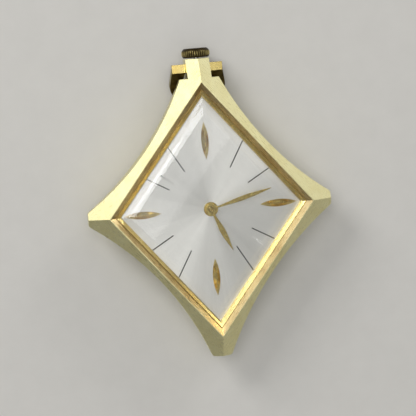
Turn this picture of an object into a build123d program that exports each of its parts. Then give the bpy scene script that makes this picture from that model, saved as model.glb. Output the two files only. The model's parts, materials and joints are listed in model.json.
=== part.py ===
from build123d import *
import os
from math import acos, atan2, cos, degrees, hypot, radians, sin, sqrt

# Fob watch: a diamond-shaped pendant watch with a hand-wound lever movement.
#
# Millimetres. The watch lies on its back. +Z points up out of the dial, +Y to 12 o'clock and
# the crown, +X to 3 o'clock. The origin is on the axis of the hands, on the flat of the case
# back, so z = 0 is the plane that the watch rests on. "Low" is towards the case back.

# ---------------------------------------------------------------- case, front
ridge_half_height = 17.2  # the sharp diamond ridge round the glass
ridge_half_width = 13.8
ridge_z = 6.8
facet_fall = 0.9  # fall of the front facets for each millimetre outward
side_tip_reach = 2.65  # how far the side tips stand out past the ridge
foot_reach = 2.75
shoulder_reach = 0.4
side_tip_half = 0.9  # half the blunt end of a side tip
foot_half = 1.3
shoulder_half = 2.65
flank_radius = 40.0  # the hollow flanks of the outline
tip_round = 0.4

bezel_top_inset = 0.1
bezel_low_inset = 0.72
bezel_low_z = 6.15
dial_seat_z = 4.8

# ---------------------------------------------------------------- case, back
case_base_z = 1.8
case_back_rise = 0.5  # rise of the underside for each millimetre outward
case_back_radius = 10.0
case_back_flat_radius = 8.4
case_back_thickness = 0.5
case_back_lip_radius = 9.4
case_back_lip_wall = 0.45
case_back_lip_z = 2.3
case_knife_notch = 2.4

# ---------------------------------------------------------------- neck, crown and bow
stem_z = 2.8
neck_half_width = 1.6
neck_reach = 3.0
neck_depth_below_stem = 1.5
neck_root_depth = 0.4
bow_axis_reach = 1.8
crown_gap = 0.15
crown_radius = 1.9
crown_thickness = 1.25
crown_flutes = 38
crown_flute_radius = 0.11
crown_low_round = 0.2  # where its ends start to round off
crown_high_round = 0.34
crown_widest = 0.1  # its widest place, below its middle
crown_bore_depth = 0.6
tube_radius = 0.75
tube_bore = 0.5
tube_length = 2.7
stem_radius = 0.45

bow_length = 4.3  # from the pivot to the middle of the crossbar
bow_bar_width = 0.9  # at the crossbar
bow_leg_width = 1.7
bow_bar_thickness = 0.9
bow_top_half = 3.4
bow_foot_half = 4.1
bow_rest_angle = 28.0  # below the horizontal, folded behind the case
bow_corner = 2.2
bow_inner_corner = 0.9
bow_stub_half = 0.56
bow_stub_top = 0.56  # above the pivots, and below them
bow_pin_radius = 0.38
bow_pin_end = 1.02

# ---------------------------------------------------------------- glass, dial and hands
dial_thickness = 0.25
glass_seat_z = 5.55
glass_edge_z = 6.1
glass_top_z = 7.25
glass_bevel = 1.3
glass_bevel_rise = 0.95
glass_wall = 0.35  # at its foot
glass_room_z = 6.45
glass_dome_radius = 130.0
frame_width = 0.4
frame_lip = 0.14
frame_top_z = 6.2
frame_rim = 0.06  # flat top edge, outside the slope
frame_fall = 0.3  # fall of its face towards the glass

marker_length = 5.0
marker_width = 1.0
marker_height = 0.36
marker_middle = 9.2
marker_ridge_length = 4.0
marker_ridge_width = 0.12
marker_foot_radius = 0.15
marker_foot_spacing = 2.0

hour_hand_angle = 156.3  # clockwise from 12, for twelve and a half minutes past five
minute_hand_angle = 75.6
hand_thickness = 0.12
hour_hand_z = 5.2
hour_hand_length = 6.3
hour_hand_width = 0.74
hour_boss_radius = 0.96
minute_hand_z = 5.5
minute_hand_length = 8.6
minute_hand_width = 0.58
minute_boss_radius = 0.72
hand_neck_width = 0.22

# ---------------------------------------------------------------- movement, levels
movement_radius = 8.75
plate_low_z = 3.25
plate_top_z = 4.5
bridge_low_z = 1.35
bridge_top_z = 2.1
bridge_reach = 8.2
cock_low_z = 1.0
cock_top_z = 1.6
ring_low_z = 2.35
ring_flange_low_z = 2.75
ring_flange_top_z = 3.2
ring_flange_radius = 8.35
wheel_thickness = 0.18
fourth_wheel_z = 3.0  # lower faces of the wheels
centre_wheel_z = 2.66
third_wheel_z = 2.3
escape_wheel_z = 2.64
fork_z = 2.62
balance_low_z = 1.95
balance_top_z = 2.2
motion_floor_z = 3.8
minute_wheel_z = 3.85
hour_wheel_z = 4.42
screw_head_height = 0.25

# ---------------------------------------------------------------- fits
slip = 0.02  # running and push fits, on the radius
free = 0.05  # parts that pass each other
opening_fit = 0.03  # each side of a frame dropped into the case
face_gap = 0.02  # between faces that bear on each other in use

# ---------------------------------------------------------------- gearing
barrel_teeth = 80
barrel_module = 0.1
centre_pinion_leaves = 10
centre_teeth = 64
centre_module = 0.085
pinion_leaves = 8
third_teeth = 60
third_module = 0.08
fourth_teeth = 70
fourth_module = 0.065
escape_pinion_leaves = 7
escape_teeth = 15
escape_radius = 1.6
cannon_leaves = 12
minute_teeth = 36
minute_module = 0.1
minute_pinion_leaves = 10
hour_teeth = 40
hour_module = minute_module * (cannon_leaves + minute_teeth) / (minute_pinion_leaves + hour_teeth)
setting_teeth = 18
ratchet_teeth = 52
crown_wheel_teeth = 30
winding_module = 0.119
winding_pinion_teeth = 18
tooth_height = 0.95  # above and below the pitch circle, in modules
tooth_depth = 1.2
tooth_root_share = 0.28  # half a tooth, as a share of the pitch
tooth_tip_share = 0.1


def polar(radius, angle):
    """A point at an angle from +X, in degrees."""
    return (radius * cos(radians(angle)), radius * sin(radians(angle)))


def beyond(point, distance, angle):
    """The point a distance away at an angle from +X, in degrees."""
    step = polar(distance, angle)
    return (point[0] + step[0], point[1] + step[1])


def bearing(start, end):
    """The angle from one point to another, in degrees."""
    return degrees(atan2(end[1] - start[1], end[0] - start[0]))


def mesh_distance(teeth, leaves, module):
    """The distance between the axes of two gears in mesh."""
    return (teeth + leaves) * module / 2


# Axes of the movement, seen from the dial
centre_axis = (0.0, 0.0)
barrel_axis = beyond(centre_axis, mesh_distance(barrel_teeth, centre_pinion_leaves, barrel_module), 150)
third_axis = beyond(centre_axis, mesh_distance(centre_teeth, pinion_leaves, centre_module), -110)
fourth_axis = beyond(third_axis, mesh_distance(third_teeth, pinion_leaves, third_module), -20)
escape_axis = beyond(fourth_axis, mesh_distance(fourth_teeth, escape_pinion_leaves, fourth_module), -10)
balance_axis = (5.0, 0.2)
fork_angle = bearing(escape_axis, balance_axis)
fork_axis = beyond(escape_axis, 2.35, fork_angle)
setting_axis = (0.55, 4.15)
minute_distance = mesh_distance(cannon_leaves, minute_teeth, minute_module)
setting_distance = mesh_distance(setting_teeth, minute_teeth, minute_module)
setting_away = hypot(*setting_axis)
minute_turn = degrees(
    acos((setting_away**2 + minute_distance**2 - setting_distance**2) / (2 * setting_away * minute_distance))
)
minute_axis = polar(minute_distance, bearing(centre_axis, setting_axis) - minute_turn)
ratchet_radius = ratchet_teeth * winding_module / 2
crown_wheel_radius = crown_wheel_teeth * winding_module / 2
crown_wheel_rise = sqrt((ratchet_radius + crown_wheel_radius) ** 2 - barrel_axis[0] ** 2)
crown_wheel_axis = (0.0, barrel_axis[1] + crown_wheel_rise)

# Balance, spring and barrel
balance_radius = 3.2
balance_rim = 0.35
balance_room = 3.4
balance_arm = 0.45
barrel_low_z = 2.95
barrel_teeth_top_z = 3.15
barrel_cover_z = 3.95
barrel_top_z = 4.05
barrel_wall_radius = 3.7
barrel_wall = 0.2
barrel_core_radius = 0.9
barrel_arbor_radius = 0.42
barrel_room = 4.2
barrel_room_z = 4.12
mainspring_turns = 12  # half turns
mainspring_thickness = 0.1
mainspring_first_radius = 1.2
mainspring_pitch = 0.18
hairspring_turns = 10  # half turns
hairspring_thickness = 0.04
hairspring_first_radius = 0.42
hairspring_pitch = 0.09
hairspring_low_z = 1.7
hairspring_height = 0.12
stud_radius = 0.14
stud_offset = 0.17  # from the spring's end

# Shafts and jewels
pivot_radius = 0.08
arbor_radius = 0.2
jewel_radius = 0.45
jewel_thickness = 0.25
cannon_radius = 0.36
cannon_bore = 0.2
hour_pipe_radius = 0.55
hour_pipe_bore = 0.4
minute_post_radius = 0.22

# Bridge feet and their screws
foot_radius = 0.8
screw_radius = 0.32
screw_head_radius = 0.58
screw_slot = 0.14
screw_end_z = 4.1
barrel_bridge_feet = ((-2.4, 7.2), (2.6, 6.7), (-7.0, -2.4))
train_bridge_feet = ((-5.2, -5.0), (-1.5, -7.2), (2.9, -6.9))
cock_foot = (5.9, 4.5)
fork_posts = tuple(beyond(fork_axis, side * 1.5, fork_angle - 90) for side in (-1, 1))
fork_bridge_low_z = 2.3
fork_bridge_top_z = 2.5
fork_bridge_width = 0.8
fork_post_radius = 0.3
fork_screw_radius = 0.14
fork_head_radius = 0.22
fork_head_depth = 0.12

# Keyless work
winding_pinion_radius = 1.1
winding_pinion_y = (6.55, 7.25)
sliding_pinion_radius = 0.93
sliding_pinion_y = (5.5, 6.5)
sliding_groove_y = (5.9, 6.2)
sliding_groove_radius = 0.6
sliding_travel = 0.5
square_half = 0.3
stem_groove_y = (7.6, 7.9)
stem_groove_radius = 0.3
stem_pilot_y = 4.8
keyless_half_width = 1.3
keyless_y = (4.7, 8.0)
lever_pivot = (2.1, 7.0)
lever_nose = (0.0, 7.75)
yoke_pivot = (2.2, 5.4)
yoke_nose = (0.0, 6.05)
lever_z = 4.0
lever_thickness = 0.2
lever_width = 0.5
lever_pin_radius = 0.1
click_pivot = (-6.1, -1.55)
click_lead = 14.0
click_spring_foot = (-7.3, -0.3)
click_spring_tip = (-6.0, -0.9)
click_spring_width = 0.14
click_thickness = 0.25
click_width = 0.28
click_nose = beyond(
    barrel_axis,
    ratchet_radius + tooth_height * winding_module + click_width / 2 + slip,
    bearing(barrel_axis, click_pivot) + click_lead,
)

# ---------------------------------------------------------------- derived
ridge_side = hypot(ridge_half_height, ridge_half_width)
ridge_apothem = ridge_half_height * ridge_half_width / ridge_side
side_tip_x = ridge_half_width + side_tip_reach
foot_y = ridge_half_height + foot_reach
shoulder_y = ridge_half_height + shoulder_reach
neck_top_y = ridge_half_height + neck_reach
bow_axis_y = ridge_half_height + bow_axis_reach
neck_low_z = stem_z - neck_depth_below_stem
frame_inset = bezel_low_inset + opening_fit
glass_inset = frame_inset + frame_width + slip
dial_top_z = dial_seat_z + dial_thickness
bore_radius = case_back_lip_radius + free
crown_low_y = neck_top_y + crown_gap

os.makedirs("parts", exist_ok=True)


def save(piece, name):
    """Label a finished piece and write it."""
    piece.part.label = name
    export_step(piece.part, f"parts/{name}.step")


# ---------------------------------------------------------------- planes
def across_stem(y):
    """The plane square to the stem at y, facing 12 o'clock, with its origin on the stem's axis."""
    return Plane(origin=(0, y, stem_z), x_dir=(1, 0, 0), z_dir=(0, 1, 0))


def across_bow(x):
    """The plane square to the bow's pivots at x, with its origin on their axis."""
    return Plane(origin=(x, bow_axis_y, stem_z), x_dir=(0, 1, 0), z_dir=(1, 0, 0))


def hand_plane(z, angle):
    """A level plane whose +Y points along a hand at this angle clockwise from 12."""
    return Plane(origin=(0, 0, z), x_dir=(cos(radians(angle)), -sin(radians(angle)), 0))


def bow_plane():
    """The bow's own plane at rest, with +Y from its pivots to its crossbar."""
    fall = radians(bow_rest_angle)
    return Plane(
        origin=(0, bow_axis_y, stem_z), x_dir=(1, 0, 0), z_dir=(0, sin(fall), -cos(fall))
    )


# ---------------------------------------------------------------- outlines
def diamond(inset):
    """The ridge's diamond, drawn in square to its sides by inset, or out if it is negative."""
    share = 1 - inset / ridge_apothem
    side = (ridge_half_width * share, 0)
    top = (0, ridge_half_height * share)
    with BuildSketch() as shape:
        with BuildLine():
            Polyline(side, top, (-side[0], 0), (0, -top[1]), close=True)
        make_face()
    return shape.sketch


def case_outline():
    """The case seen from the front: hollow flanks between blunt tips, shoulders at 12."""
    with BuildSketch() as shape:
        with BuildLine():
            RadiusArc((shoulder_half, shoulder_y), (side_tip_x, side_tip_half), -flank_radius)
            Line((side_tip_x, side_tip_half), (side_tip_x, -side_tip_half))
            RadiusArc((side_tip_x, -side_tip_half), (foot_half, -foot_y), -flank_radius)
            Line((foot_half, -foot_y), (0, -foot_y))
            Line((0, shoulder_y), (shoulder_half, shoulder_y))
            mirror(about=Plane.YZ)
        make_face()
        fillet(shape.vertices().filter_by(lambda v: v.Y < shoulder_y / 2), tip_round)
    return shape.sketch


def bar(start, end, width):
    """A round-ended bar between two points."""
    with BuildSketch() as shape:
        with Locations(((start[0] + end[0]) / 2, (start[1] + end[1]) / 2)):
            SlotCenterToCenter(hypot(end[0] - start[0], end[1] - start[1]), width, bearing(start, end))
    return shape.sketch


def marquise(length, width):
    """A pointed oval along Y, from two arcs."""
    with BuildSketch() as shape:
        with BuildLine():
            ThreePointArc((0, -length / 2), (width / 2, 0), (0, length / 2))
            ThreePointArc((0, length / 2), (-width / 2, 0), (0, -length / 2))
        make_face()
    return shape.sketch


def leaf(root, length, width, neck):
    """Half-round leaf of a hand along +Y, from the boss at root to its point."""
    widest = root + (length - root) * 0.42
    with BuildSketch() as shape:
        with BuildLine():
            Line((0, root), (neck / 2, root))
            Spline((neck / 2, root), (width / 2, widest), (0.03, length), tangents=((0, 1), (-0.12, 1)))
            Line((0.03, length), (0, length))
            mirror(about=Plane.YZ)
        make_face()
    return shape.sketch


def gear_outline(teeth, module, phase=0.0):
    """Straight-flanked teeth round a disc, one of them centred on the phase angle."""
    pitch_radius = teeth * module / 2
    root = pitch_radius - tooth_depth * module
    tip = pitch_radius + tooth_height * module
    tooth = (
        (root, -tooth_root_share),
        (tip, -tooth_tip_share),
        (tip, tooth_tip_share),
        (root, tooth_root_share),
    )
    step = 360 / teeth
    corners = [polar(r, phase + (n + share) * step) for n in range(teeth) for r, share in tooth]
    with BuildSketch() as shape:
        with BuildLine():
            Polyline(*corners, close=True)
        make_face()
    return shape.sketch


def gap_phase(teeth, angle):
    """The phase that puts a gap of the gear at this angle."""
    return angle + 180 / teeth


def spiral_strip(first_radius, pitch, half_turns, thickness):
    """A flat spiral of half circles, each one pitch / 2 wider than the last."""
    with BuildSketch() as shape:
        with BuildLine():
            for side in (-1, 1):
                for turn in range(half_turns):
                    radius = first_radius + turn * pitch / 2 + side * thickness / 2
                    middle = (turn % 2) * pitch / 2
                    upward = turn % 2 == 0
                    ends = ((middle + radius, 0), (middle - radius, 0))
                    top = (middle, radius if upward else -radius)
                    ThreePointArc(ends[0], top, ends[1])
            last = first_radius + (half_turns - 1) * pitch / 2
            last_x = ((half_turns - 1) % 2) * pitch / 2 + (last if half_turns % 2 == 0 else -last)
            for x in (first_radius, last_x):
                Line((x - thickness / 2, 0), (x + thickness / 2, 0))
        make_face()
    return shape.sketch


# ---------------------------------------------------------------- solids used many times
def diamond_block(low_inset, low_z, high_inset, high_z):
    """A solid between two levels of the diamond, with flat sides."""
    with BuildPart() as block:
        with BuildSketch(Plane.XY.offset(low_z)):
            add(diamond(low_inset))
        with BuildSketch(Plane.XY.offset(high_z)):
            add(diamond(high_inset))
        loft(ruled=True)
    return block.part


def turned(steps, plane=Plane.XY, at=(0.0, 0.0)):
    """A turned piece: (radius, start, end) for each step along the plane's axis."""
    with BuildPart() as piece:
        for radius, start, end in steps:
            with BuildSketch(plane.offset(start)):
                with Locations(at):
                    Circle(radius)
            extrude(amount=end - start)
    return piece.part


def gear(teeth, module, phase, at, low_z, high_z):
    """A gear with no bore, between two heights."""
    with BuildPart() as piece:
        with BuildSketch(Plane.XY.offset(low_z)):
            with Locations(at):
                add(gear_outline(teeth, module, phase))
        extrude(amount=high_z - low_z)
    return piece.part


def spoked_wheel(teeth, module, phase, at, low_z, bore, arm=0.3, hub=0.55, rim=0.3):
    """A train wheel: toothed rim, four arms and a bored hub."""
    window_radius = teeth * module / 2 - tooth_depth * module - rim
    with BuildSketch() as windows:
        Circle(window_radius)
        Circle(hub, mode=Mode.SUBTRACT)
        Rectangle(2 * window_radius, arm, mode=Mode.SUBTRACT)
        Rectangle(arm, 2 * window_radius, mode=Mode.SUBTRACT)
    with BuildPart() as wheel:
        with BuildSketch(Plane.XY.offset(low_z)):
            with Locations(at):
                add(gear_outline(teeth, module, phase))
                add(windows.sketch, mode=Mode.SUBTRACT)
                Circle(bore, mode=Mode.SUBTRACT)
        extrude(amount=wheel_thickness)
    return wheel.part


def bore(radius, at, low_z, high_z):
    """A cylinder along Z, to cut with."""
    return turned([(radius, low_z, high_z)], at=at)


def screw(at, head_low_z, end_z, shank, head, head_height=screw_head_height):
    """A slotted screw whose head faces the case back."""
    with BuildPart() as piece:
        add(turned([(head, head_low_z, head_low_z + head_height)], at=at))
        add(turned([(shank, head_low_z + head_height, end_z)], at=at))
        with BuildSketch(Plane.XY.offset(head_low_z)):
            with Locations(at):
                Rectangle(2.2 * head, screw_slot, rotation=35)
        extrude(amount=head_height / 2, mode=Mode.SUBTRACT)
    return piece.part


# ================================================================ case
with BuildPart() as case_body:
    with BuildSketch(Plane.XY.offset(case_base_z)):
        add(case_outline())
    extrude(amount=ridge_z - case_base_z)
    # the underside is flat round the case back and rises towards the tips
    case_height = ridge_z - case_base_z
    base_inset = ridge_apothem - case_back_radius - free
    add(
        diamond_block(base_inset, case_base_z, base_inset - case_height / case_back_rise, ridge_z),
        mode=Mode.INTERSECT,
    )
    # the neck, a square tube that the crown stands on
    with BuildSketch(Plane.XY.offset(neck_low_z)):
        with Locations((0, (ridge_half_height - neck_root_depth + neck_top_y) / 2)):
            Rectangle(2 * neck_half_width, neck_reach + neck_root_depth)
    extrude(amount=ridge_z - neck_low_z)
    # four front facets fall away from the ridge, over the neck as well
    facet_drop = ridge_z - neck_low_z
    add(diamond_block(-facet_drop / facet_fall, neck_low_z, 0, ridge_z), mode=Mode.INTERSECT)
    # the polished bezel wall inside the ridge, then the opening for the frame and the dial
    add(
        diamond_block(bezel_low_inset, bezel_low_z, bezel_top_inset, ridge_z),
        mode=Mode.SUBTRACT,
    )
    add(
        diamond_block(bezel_low_inset, dial_seat_z, bezel_low_inset, bezel_low_z),
        mode=Mode.SUBTRACT,
    )
    add(bore(bore_radius, centre_axis, case_base_z, dial_seat_z), mode=Mode.SUBTRACT)
    # the stem's bore, wider for the tube in the neck
    add(
        turned(
            [
                (stem_radius + free, movement_radius, neck_top_y - tube_length),
                (tube_radius + slip, neck_top_y - tube_length, neck_top_y),
            ],
            plane=across_stem(0),
        ),
        mode=Mode.SUBTRACT,
    )
    # the holes for the bow's pins
    for side in (-1, 1):
        with BuildSketch(across_bow(side * neck_half_width)):
            Circle(bow_pin_radius + slip)
        extrude(amount=-side * (neck_half_width - bow_pin_end + slip), mode=Mode.SUBTRACT)
save(case_body, "case_body")

with BuildPart() as case_back:
    with BuildSketch(Plane.XZ):
        with BuildLine():
            Polyline(
                (0, case_back_thickness),
                (0, 0),
                (case_back_flat_radius, 0),
            )
            ThreePointArc(
                (case_back_flat_radius, 0),
                (case_back_radius - 0.32, 0.42),
                (case_back_radius, 1.3),
            )
            Polyline(
                (case_back_radius, 1.3),
                (case_back_radius, case_base_z - face_gap),
                (case_back_lip_radius, case_base_z - face_gap),
                (case_back_lip_radius, case_back_lip_z),
                (case_back_lip_radius - case_back_lip_wall, case_back_lip_z),
                (case_back_lip_radius - case_back_lip_wall, case_back_thickness),
                (0, case_back_thickness),
            )
        make_face()
    revolve(axis=Axis.Z)
    # the slot that a case knife goes into
    with BuildSketch(Plane.XY.offset(case_base_z - face_gap)):
        with Locations((0, -case_back_radius)):
            Rectangle(case_knife_notch, 0.5)
    extrude(amount=-0.3, mode=Mode.SUBTRACT)
save(case_back, "case_back")

with BuildPart() as inner_frame:
    add(diamond_block(frame_inset, dial_top_z, frame_inset, frame_top_z))
    seat_inset = frame_inset + frame_width + frame_lip
    add(diamond_block(seat_inset, dial_top_z, seat_inset, glass_seat_z), mode=Mode.SUBTRACT)
    glass_hole = frame_inset + frame_width
    add(diamond_block(glass_hole, glass_seat_z, glass_hole, frame_top_z), mode=Mode.SUBTRACT)
    slope_low_z = frame_top_z - frame_fall
    add(
        diamond_block(glass_hole, slope_low_z, frame_inset + frame_rim, frame_top_z),
        mode=Mode.SUBTRACT,
    )
save(inner_frame, "inner_frame")

with BuildPart() as crystal:
    bevel_z = glass_edge_z + glass_bevel_rise
    add(diamond_block(glass_inset, glass_seat_z, glass_inset, glass_edge_z))
    add(diamond_block(glass_inset, glass_edge_z, glass_inset + glass_bevel, bevel_z))
    add(diamond_block(glass_inset + glass_bevel, bevel_z, glass_inset + glass_bevel, glass_top_z))
    # a slightly domed top
    with Locations((0, 0, glass_top_z - glass_dome_radius)):
        Sphere(glass_dome_radius, mode=Mode.INTERSECT)
    # the hollow that the hands turn in, with its sides along the bevel
    hollow_inset = glass_inset + glass_wall
    hollow_slope = (glass_room_z - glass_seat_z) * glass_bevel / glass_bevel_rise
    add(
        diamond_block(hollow_inset, glass_seat_z, hollow_inset + hollow_slope, glass_room_z),
        mode=Mode.SUBTRACT,
    )
save(crystal, "crystal")

marker_angles = {"marker_12": 0, "marker_3": 90, "marker_6": 180, "marker_9": 270}
dial_feet = ((-6.2, -4.6), (5.5, 5.5))
dial_foot_radius = 0.3
dial_foot_z = 4.25
with BuildPart() as dial:
    add(diamond_block(frame_inset, dial_seat_z, frame_inset, dial_top_z))
    for foot in dial_feet:
        add(turned([(dial_foot_radius, dial_foot_z, dial_seat_z)], at=foot))
    add(bore(hour_pipe_radius + free, centre_axis, dial_seat_z, dial_top_z), mode=Mode.SUBTRACT)
    for angle in marker_angles.values():
        with BuildSketch(hand_plane(dial_top_z, angle)):
            with Locations((0, marker_middle)):
                with GridLocations(1, marker_foot_spacing, 1, 2):
                    Circle(marker_foot_radius + slip)
        extrude(amount=-dial_thickness, mode=Mode.SUBTRACT)
save(dial, "dial")

for marker_name, angle in marker_angles.items():
    with BuildPart() as marker:
        with BuildSketch(hand_plane(dial_top_z, angle)):
            with Locations((0, marker_middle)):
                add(marquise(marker_length, marker_width))
        with BuildSketch(hand_plane(dial_top_z + marker_height, angle)):
            with Locations((0, marker_middle)):
                add(marquise(marker_ridge_length, marker_ridge_width))
        loft(ruled=True)
        with BuildSketch(hand_plane(dial_top_z, angle)):
            with Locations((0, marker_middle)):
                with GridLocations(1, marker_foot_spacing, 1, 2):
                    Circle(marker_foot_radius)
        extrude(amount=-dial_thickness)
    save(marker, marker_name)

# The ring that centres the round movement in the case. The case back's lip holds it in.
with BuildPart() as movement_ring:
    add(bore(case_back_lip_radius, centre_axis, ring_low_z, dial_seat_z - face_gap))
    add(
        turned(
            [
                (case_back_lip_radius - case_back_lip_wall, ring_low_z, ring_flange_low_z),
                (ring_flange_radius, ring_flange_low_z, ring_flange_top_z),
                (movement_radius + slip, ring_flange_top_z, dial_seat_z),
            ]
        ),
        mode=Mode.SUBTRACT,
    )
    add(bore(barrel_room, barrel_axis, barrel_low_z - free, ring_flange_top_z), mode=Mode.SUBTRACT)
    with BuildSketch(across_stem(0)):
        Circle(stem_radius + 3 * free)
    extrude(amount=case_back_radius, mode=Mode.SUBTRACT)
save(movement_ring, "movement_ring")

with BuildPart() as pendant_tube:
    with BuildSketch(across_stem(neck_top_y - tube_length + slip)):
        Circle(tube_radius)
        Circle(tube_bore, mode=Mode.SUBTRACT)
    extrude(amount=tube_length - slip)
save(pendant_tube, "pendant_tube")

# ================================================================ bow, crown and stem
inner_top = bow_top_half - bow_leg_width
inner_foot = bow_foot_half - bow_leg_width
stub_start = neck_half_width + free
far_edge = bow_length + bow_bar_width / 2
near_edge = bow_length - bow_bar_width / 2


def bow_outline(top, top_y, foot, foot_y, corner):
    """A tapered loop's edge, rounded at the crossbar's end."""
    with BuildSketch() as shape:
        with BuildLine():
            Polyline((-top, top_y), (top, top_y), (foot, foot_y), (-foot, foot_y), close=True)
        make_face()
        fillet(shape.vertices().group_by(Axis.Y)[-1], corner)
    return shape.sketch


with BuildPart() as bow:
    with BuildSketch(bow_plane()):
        add(bow_outline(bow_top_half, 0, bow_foot_half, far_edge, bow_corner))
        add(
            bow_outline(inner_top, bow_stub_half, inner_foot, near_edge, bow_inner_corner),
            mode=Mode.SUBTRACT,
        )
        Rectangle(2 * stub_start, 4 * bow_stub_half, mode=Mode.SUBTRACT)
    extrude(amount=bow_bar_thickness / 2, both=True)
    for side in (-1, 1):
        # a square end, level with the neck
        with BuildSketch(across_bow(side * stub_start)):
            Rectangle(2 * bow_stub_half, 2 * bow_stub_top)
        extrude(amount=side * (bow_top_half - stub_start))
        with BuildSketch(across_bow(side * bow_pin_end)):
            Circle(bow_pin_radius)
        extrude(amount=side * (stub_start - bow_pin_end))
save(bow, "bow")

with BuildPart() as crown:
    with BuildSketch(across_stem(crown_low_y)):
        Circle(crown_radius)
        with PolarLocations(crown_radius, crown_flutes):
            Circle(crown_flute_radius, mode=Mode.SUBTRACT)
    extrude(amount=crown_thickness)
    # slightly rounded ends
    crown_middle_y = crown_low_y + crown_thickness / 2
    with BuildSketch(Plane.YZ):
        with BuildLine():
            start = (crown_low_y, stem_z)
            low_edge = (crown_low_y, stem_z + crown_radius - crown_low_round)
            high_edge = (crown_low_y + crown_thickness, stem_z + crown_radius - crown_high_round)
            finish = (crown_low_y + crown_thickness, stem_z)
            Line(start, low_edge)
            ThreePointArc(low_edge, (crown_middle_y - crown_widest, stem_z + crown_radius), high_edge)
            Line(high_edge, finish)
            Line(finish, start)
        make_face()
    revolve(axis=Axis((0, 0, stem_z), (0, 1, 0)), mode=Mode.INTERSECT)
    # a threaded bore for the stem
    with BuildSketch(across_stem(crown_low_y)):
        Circle(stem_radius + slip)
    extrude(amount=crown_bore_depth, mode=Mode.SUBTRACT)
save(crown, "crown")

with BuildPart() as stem:
    add(
        turned(
            [
                (stem_groove_radius, stem_groove_y[0], stem_groove_y[1]),
                (stem_radius, winding_pinion_y[0], stem_groove_y[0]),
                (stem_radius, stem_groove_y[1], crown_low_y + crown_bore_depth - slip),
                (square_half * 0.8, stem_pilot_y, sliding_pinion_y[0]),
            ],
            plane=across_stem(0),
        )
    )
    with BuildSketch(across_stem(sliding_pinion_y[0] - sliding_travel)):
        Rectangle(2 * square_half, 2 * square_half)
    extrude(amount=winding_pinion_y[0] - sliding_pinion_y[0] + sliding_travel)
save(stem, "stem")

with BuildPart() as winding_pinion:
    pinion_module = 2 * winding_pinion_radius / (winding_pinion_teeth + 2 * tooth_height)
    with BuildSketch(across_stem(winding_pinion_y[0])):
        add(gear_outline(winding_pinion_teeth, pinion_module))
        Circle(stem_radius + slip, mode=Mode.SUBTRACT)
    extrude(amount=winding_pinion_y[1] - winding_pinion_y[0])
save(winding_pinion, "winding_pinion")

with BuildPart() as sliding_pinion:
    sliding_module = 2 * sliding_pinion_radius / (winding_pinion_teeth + 2 * tooth_height)
    with BuildSketch(across_stem(sliding_pinion_y[0])):
        add(gear_outline(winding_pinion_teeth, sliding_module))
    extrude(amount=sliding_pinion_y[1] - sliding_pinion_y[0])
    with BuildSketch(across_stem(sliding_groove_y[0])):
        Circle(2 * sliding_pinion_radius)
        Circle(sliding_groove_radius, mode=Mode.SUBTRACT)
    extrude(amount=sliding_groove_y[1] - sliding_groove_y[0], mode=Mode.SUBTRACT)
    with BuildSketch(across_stem(sliding_pinion_y[0])):
        Rectangle(2 * (square_half + slip), 2 * (square_half + slip))
    extrude(amount=sliding_pinion_y[1] - sliding_pinion_y[0], mode=Mode.SUBTRACT)
save(sliding_pinion, "sliding_pinion")


def keyless_lever(pivot, nose, pin_low_z):
    """A flat lever with a pin at its nose that reaches down into a groove, and a pivot screw."""
    with BuildPart() as lever:
        with BuildSketch(Plane.XY.offset(lever_z)):
            add(bar(pivot, nose, lever_width))
            with Locations(pivot):
                Circle(lever_width * 0.8)
        extrude(amount=lever_thickness)
        add(turned([(lever_pin_radius, pin_low_z, lever_z)], at=nose))
        add(turned([(lever_pin_radius, plate_low_z, lever_z)], at=pivot))
    return lever.part


with BuildPart() as setting_lever:
    add(keyless_lever(lever_pivot, lever_nose, stem_z + stem_groove_radius + free))
save(setting_lever, "setting_lever")

with BuildPart() as yoke:
    add(keyless_lever(yoke_pivot, yoke_nose, stem_z + sliding_groove_radius + free))
save(yoke, "yoke")

with BuildPart() as setting_wheel:
    minute_to_setting = bearing(minute_axis, setting_axis)
    add(
        gear(
            setting_teeth,
            minute_module,
            gap_phase(setting_teeth, minute_to_setting + 180),
            setting_axis,
            minute_wheel_z,
            minute_wheel_z + wheel_thickness,
        )
    )
    add(
        turned(
            [(minute_post_radius + slip, minute_wheel_z, minute_wheel_z + wheel_thickness)],
            at=setting_axis,
        ),
        mode=Mode.SUBTRACT,
    )
save(setting_wheel, "setting_wheel")

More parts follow.
